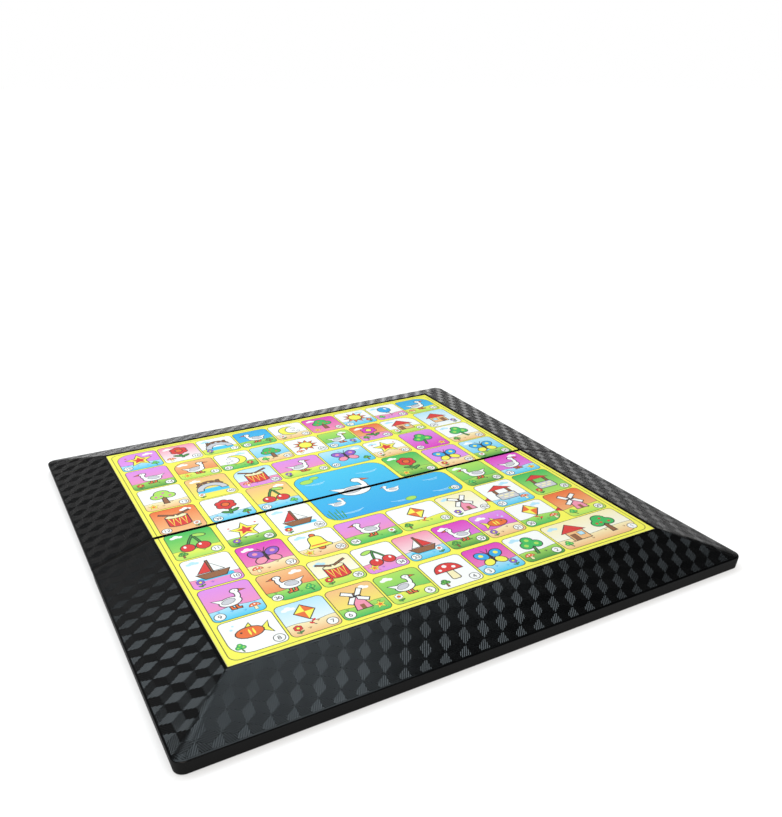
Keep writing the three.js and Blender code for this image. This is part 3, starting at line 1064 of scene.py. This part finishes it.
def rhombi(edge, insets):
    """The rhombi that lie in an outline, cut to it, each with the way across its grooves."""
    low, high = (Vector((pick(p.x for p in edge), pick(p.y for p in edge))) for pick in (min, max))
    sides = []
    for i, (here, inset) in enumerate(zip(edge, insets)):
        along = (here - edge[i - 1]).normalized()
        inward = Vector((-along.y, along.x))
        sides.append((inward, here.dot(inward) + inset))
    for row in range(math.floor(low.y / BLOCK_ROW) - 1, math.ceil(high.y / BLOCK_ROW) + 2):
        shift = BLOCK_PERIOD / 2 * (row % 2)
        first = math.floor((low.x - shift) / BLOCK_PERIOD) - 1
        last = math.ceil((high.x - shift) / BLOCK_PERIOD) + 1
        for column in range(first, last + 1):
            block = Vector((column * BLOCK_PERIOD + shift, row * BLOCK_ROW))
            for angle in BLOCK_WAYS:
                turns = [math.radians(angle + turn) for turn in RHOMBUS_SPOKES]
                spokes = [Vector((math.cos(turn), math.sin(turn))) for turn in turns]
                corners = [block] + [block + BLOCK_REACH * spoke for spoke in spokes]
                middle = (corners[0] + corners[2]) / 2
                tile = [middle.lerp(corner, TILE_SHARE) for corner in corners]
                for inward, limit in sides:
                    tile = kept_above(tile, inward, limit)
                if len(tile) > 2:
                    yield tile, spokes[1]


def groove_height(distance):
    """Height over the grooves' floor at a distance across them."""
    run = distance / GROOVE_PITCH % 1
    down = max(0.0, min(run - GROOVE_LAND, 1 - run))
    return GROOVE_SLOPE * GROOVE_PITCH * (1 - GROOVE_MIDDLE - down)


def groove_tile(tile, way):
    """One tile as a closed solid: spots with their height over the slope, and faces."""
    distances = [p.dot(way) for p in tile]
    first = math.floor(min(distances) / GROOVE_PITCH)
    last = math.ceil(max(distances) / GROOVE_PITCH)
    bends = (0, GROOVE_LAND, GROOVE_MIDDLE)
    folds = [(turn + bend) * GROOVE_PITCH for turn in range(first, last + 1) for bend in bends]
    for i, distance in enumerate(distances):
        nearest = min(folds, key=lambda fold: abs(fold - distance))
        if abs(nearest - distance) < SPOT_SIZE:
            distances[i] = nearest

    count = len(tile)
    spots = [(p, -TILE_ROOT) for p in tile]
    faces = [list(reversed(range(count)))]
    ring, walls = [], []
    for i, (here, near) in enumerate(zip(tile, distances)):
        after, far = tile[(i + 1) % count], distances[(i + 1) % count]
        chain = [(near, here)]
        crossed = [fold for fold in folds if min(near, far) < fold < max(near, far)]
        for fold in crossed if near < far else reversed(crossed):
            chain.append((fold, here.lerp(after, (fold - near) / (far - near))))
        walls.append(range(len(ring), len(ring) + len(chain)))
        ring.extend(chain)
    spots += [(spot, GROOVE_FLOOR + groove_height(distance)) for distance, spot in ring]
    for i, wall in enumerate(walls):
        k = (i + 1) % count
        top = [count + j for j in wall]
        faces.append([top[0], i, k, count + walls[k][0]] + top[:0:-1])
    for low, high in zip(folds, folds[1:]):
        strip = [count + j for j, (distance, _) in enumerate(ring) if low <= distance <= high]
        if len(strip) > 2:
            faces.append(strip)
    return spots, faces


def rim_relief(name, node):
    """The pattern of a half's rim: grooved tiles that stand on the slopes, each a closed solid."""
    verts, faces = [], []
    for corners, tilt, insets in rim_slopes(node):
        edge = [corner.to_2d() for corner in corners]
        for tile, way in rhombi(edge, insets):
            spots, sides = groove_tile(tile, way)
            faces.extend([len(verts) + i for i in side] for side in sides)
            for spot, height in spots:
                fall = tilt.to_2d().dot(spot - edge[0]) / tilt.z
                verts.append(Vector((spot.x, spot.y, corners[0].z - fall + height)) * MM)
    mesh = bpy.data.meshes.new(name)
    mesh.from_pydata(verts, [], faces)
    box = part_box(node)
    layer = mesh.uv_layers.new(name="OFBake")
    for loop in mesh.loops:
        layer.data[loop.index].uv = plan_share(mesh.vertices[loop.vertex_index].co, box)
    return added(name, mesh)


# Surroundings


def pale_floor():
    """A pale surface that glows, with a painted shadow: its glow is darker close to what covers it."""
    g = Graph("pale_floor")
    tone = g.noise(g.node("ShaderNodeTexCoord").outputs["Object"], scale=3.0, detail=3.0)
    # painted shadow: ambient occlusion dims the floor's glow under and beside the board
    shadow_occlusion = g.node("ShaderNodeAmbientOcclusion", samples=8)
    shadow_occlusion.inputs["Distance"].default_value = FLOOR_SHADE
    unshadowed_share = g.math("SQRT", shadow_occlusion.outputs["AO"])
    return g.finish(
        Base_Color=g.mix(tone, *(grey(value) for value in FLOOR_TONES)),
        Roughness=0.7,
        Specular_IOR_Level=0.2,
        Emission_Color=grey(1.0),
        Emission_Strength=g.math("MULTIPLY", unshadowed_share, FLOOR_GLOW),
    )


def add_floor():
    mesh = bpy.data.meshes.new("floor")
    ends = rectangle(-FLOOR_REACH, -FLOOR_REACH, FLOOR_REACH, FLOOR_REACH)
    mesh.from_pydata([(*end, 0) for end in ends], [], [(0, 1, 2, 3)])
    mesh.materials.append(pale_floor())
    floor = added("floor", mesh)
    floor.location.z = -FLOOR_DROP
    floor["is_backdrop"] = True


def add_lamps():
    """Soft panels close over the board, and wide light from behind the camera."""
    for left, right, front, back, radiance in PANELS:
        panel = bpy.data.lights.new("panel", "AREA")
        panel.shape = "RECTANGLE"
        panel.size, panel.size_y = right - left, back - front
        panel.energy = radiance * math.pi * panel.size * panel.size_y
        panel.color = PANEL_TONE
        lamp = added("panel", panel)
        lamp.location = ((left + right) / 2, (front + back) / 2, PANEL_HEIGHT)
    key = bpy.data.lights.new("key", "SUN")
    key.energy = KEY_STRENGTH
    key.color = KEY_TONE
    key.angle = math.radians(KEY_SPREAD)
    lamp = added("key", key)
    lamp.rotation_euler = Vector(KEY_FROM).to_track_quat("Z", "Y").to_euler()


def add_world():
    """Room light: pale near the floor, dim overhead, where the lamps hang, and dimmer on the right."""
    world = bpy.data.worlds.new("room")
    bpy.context.scene.world = world
    world.use_nodes = True
    tree = world.node_tree
    link = tree.links.new
    place = tree.nodes.new("ShaderNodeTexCoord")
    split = tree.nodes.new("ShaderNodeSeparateXYZ")
    side = tree.nodes.new("ShaderNodeMapRange")
    blend = tree.nodes.new("ShaderNodeMix")
    blend.data_type = "RGBA"
    link(place.outputs["Generated"], split.inputs[0])
    link(split.outputs["X"], side.inputs["Value"])
    link(side.outputs["Result"], blend.inputs["Factor"])
    side.inputs["From Min"].default_value, side.inputs["From Max"].default_value = ROOM_TURN
    for room, colour in ((ROOM_LEFT, "A"), (ROOM_RIGHT, "B")):
        ramp = tree.nodes.new("ShaderNodeValToRGB")
        stops = ramp.color_ramp.elements
        for stop, (position, value) in zip(stops, (room[0], room[-1])):
            stop.position, stop.color = position, grey(value)
        for position, value in room[1:-1]:
            stops.new(position).color = grey(value)
        link(split.outputs["Z"], ramp.inputs[0])
        link(ramp.outputs[0], blend.inputs[colour])
    link(blend.outputs["Result"], tree.nodes["Background"].inputs["Color"])


def add_camera():
    """The view of the picture."""
    yaw, pitch = math.radians(CAMERA_YAW), math.radians(CAMERA_PITCH)
    ahead = Vector((math.sin(yaw) * math.cos(pitch), math.cos(yaw) * math.cos(pitch), -math.sin(pitch)))
    right = Vector((math.cos(yaw), -math.sin(yaw), 0))
    up = right.cross(ahead)
    turn = Matrix((right, up, -ahead)).transposed() @ Matrix.Rotation(math.radians(CAMERA_ROLL), 3, "Z")
    data = bpy.data.cameras.new("camera")
    data.sensor_width = SENSOR
    data.lens = FOCAL_PX / max(IMAGE_WIDTH, IMAGE_HEIGHT) * SENSOR
    data.clip_start = CAMERA_NEAREST
    camera = added("camera", data)
    camera.matrix_world = Matrix.Translation(CAMERA_AT) @ turn.to_4x4()
    bpy.context.scene.camera = camera


def dress(piece, material):
    piece.data.materials.clear()
    piece.data.materials.append(material)


# Pieces, each on its half

plain_plastic = case_plastic("case_plastic", PLAIN_GLOSS)
rim_plastic = case_plastic("rim_plastic", RIM_GLOSS)
for half in ("near", "far"):
    node = f"{half}_shell"
    dress(nodes[node], plain_plastic)
    relief = rim_relief(f"{half}_rim_relief", node)
    dress(relief, rim_plastic)
    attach(relief, f"{half}_half")
steel = pin_steel()
for node in ("left_hinge_pin", "right_hinge_pin"):
    dress(nodes[node], steel)

card = printed_card()
drawing = draw_track()
for half in ("near", "far"):
    node = f"{half}_game_sheet"
    sheet = print_mesh(f"{half}_printed_sheet", node, drawing)
    dress(sheet, card)
    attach(sheet, f"{half}_half")
    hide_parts(node)

add_floor()
add_world()
add_lamps()
add_camera()
bpy.context.scene.view_settings.view_transform = "Standard"

boxes = {"cad": cad_box, "visual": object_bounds()}
{name: [list(corner) for corner in box] for name, box in boxes.items()}
